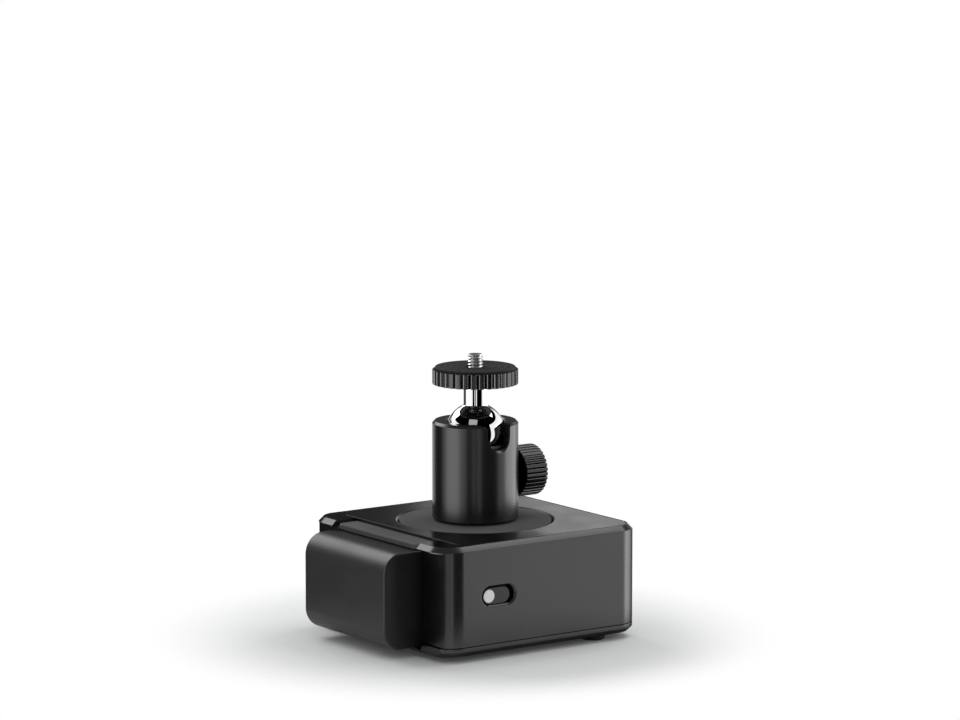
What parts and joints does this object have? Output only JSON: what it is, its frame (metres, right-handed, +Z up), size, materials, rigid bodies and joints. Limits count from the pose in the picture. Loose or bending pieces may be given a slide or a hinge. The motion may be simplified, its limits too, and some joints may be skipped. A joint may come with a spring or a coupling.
{
  "type": "remote pan tilt head",
  "caption": "Low motorised pan head with a clip-in side battery, carrying a small ball head with a side lock knob, a drop notch and a round camera platform.",
  "frame": {"origin": "centre of the overall plan box on the floor under the feet", "axes": "+Z up along the pan axis, +X to the right of the front face towards the lock knob, +Y to the back; the battery hangs on the -X side"},
  "size_m": [0.1114, 0.0948, 0.1134],
  "materials": {
    "anodised": "satin black anodised, fine bead-blasted",
    "column": "semi-gloss black anodised, turned",
    "plain_aluminium": "machined, plain",
    "chrome": "mirror",
    "steel": "turned",
    "brass": "machined",
    "black_plastic": "finely textured",
    "white_plastic": "smooth, lets light through",
    "nylon": "smooth",
    "rubber": "matt",
    "board": "solder resist",
    "can": "pressed sheet",
    "lead": "soft wire jacket"
  },
  "bodies": {
    "base": {"housing": "anodised", "top_cover": "anodised", "base_plate": "anodised", "tripod_insert": "steel", "battery_dock": "black_plastic", "latch_spring": "steel", "main_board": "board", "radio_module": "can", "driver_chip": "black_plastic", "slide_switch": "black_plastic", "drive_frame": "plain_aluminium", "bearing_tower": "plain_aluminium", "upper_bearing": "steel", "lower_bearing": "steel", "battery_lead": "lead", "motor_lead": "lead", "foot_1": "rubber", "foot_2": "rubber", "foot_3": "rubber", "foot_4": "rubber", "base_screw_1": "steel", "base_screw_2": "steel", "base_screw_3": "steel", "base_screw_4": "steel", "frame_pillar_1": "plain_aluminium", "frame_pillar_2": "plain_aluminium", "frame_pillar_3": "plain_aluminium", "frame_pillar_4": "plain_aluminium", "frame_screw_1": "steel", "frame_screw_2": "steel", "frame_screw_3": "steel", "frame_screw_4": "steel", "battery_terminal_1": "brass", "battery_terminal_2": "brass", "battery_terminal_3": "brass", "motor": "can", "gearbox": "steel"},
    "turning_head": {"turntable": "anodised", "main_shaft": "steel", "main_gear": "brass", "shaft_nut": "steel", "head_washer": "rubber", "head_stud": "steel", "ball_head_body": "column", "body_plug": "plain_aluminium", "ball_cup": "nylon"},
    "pinion": {"motor_pinion": "brass"},
    "liner": {"ball_liner": "nylon"},
    "ball": {"ball_stem": "chrome"},
    "platform": {"camera_platform": "anodised", "platform_pad": "rubber", "camera_stud": "steel"},
    "brake": {"brake_pin": "steel"},
    "knob": {"lock_knob": "anodised", "lock_screw": "steel"},
    "latch": {"latch_bar": "anodised"},
    "battery_pack": {"battery": "black_plastic"},
    "switch_slider": {"power_slider": "black_plastic", "status_lens": "white_plastic"}
  },
  "joints": [
    {"name": "pan", "type": "hinge", "parent": "base", "child": "turning_head", "pos_m": [0.0073, 0.00065, 0.0462], "axis": [0, 0, 1], "continuous": true},
    {"name": "pinion_spin", "type": "hinge", "parent": "base", "child": "pinion", "pos_m": [0.02996, 0.02331, 0.0385], "axis": [0, 0, 1], "continuous": true},
    {"name": "side_tilt", "type": "hinge", "parent": "turning_head", "child": "liner", "pos_m": [0.0073, 0.00065, 0.0816], "axis": [0, 1, 0], "range_deg": [-30, 30]},
    {"name": "drop_tilt", "type": "hinge", "parent": "liner", "child": "ball", "pos_m": [0.0073, 0.00065, 0.0816], "axis": [1, 0, 0], "range_deg": [-30, 90]},
    {"name": "platform_spin", "type": "hinge", "parent": "ball", "child": "platform", "pos_m": [0.0073, 0.00065, 0.1044], "axis": [0, 0, 1], "continuous": true},
    {"name": "lock_press", "type": "slide", "parent": "turning_head", "child": "brake", "axis": [1, 0, 0], "range_m": [0, 0.001]},
    {"name": "lock_turn", "type": "hinge", "parent": "brake", "child": "knob", "pos_m": [0.0309, 0.00065, 0.0637], "axis": [1, 0, 0], "range_deg": [0, 360]},
    {"name": "latch_slide", "type": "slide", "parent": "base", "child": "latch", "axis": [0, -1, 0], "range_m": [0, 0.0025], "stiffness_N_per_m": 400, "deforming": ["latch_spring"]},
    {"name": "battery_out", "type": "slide", "parent": "base", "child": "battery_pack", "axis": [-1, 0, 0], "range_m": [0, 0.012]},
    {"name": "power_slide", "type": "slide", "parent": "base", "child": "switch_slider", "axis": [1, 0, 0], "range_m": [0, 0.002]}
  ],
  "couplings": [
    {"joint": "pinion_spin", "follows": "pan", "ratio": -4},
    {"joint": "lock_turn", "follows": "lock_press", "rad_per_m": 6283.2}
  ]
}
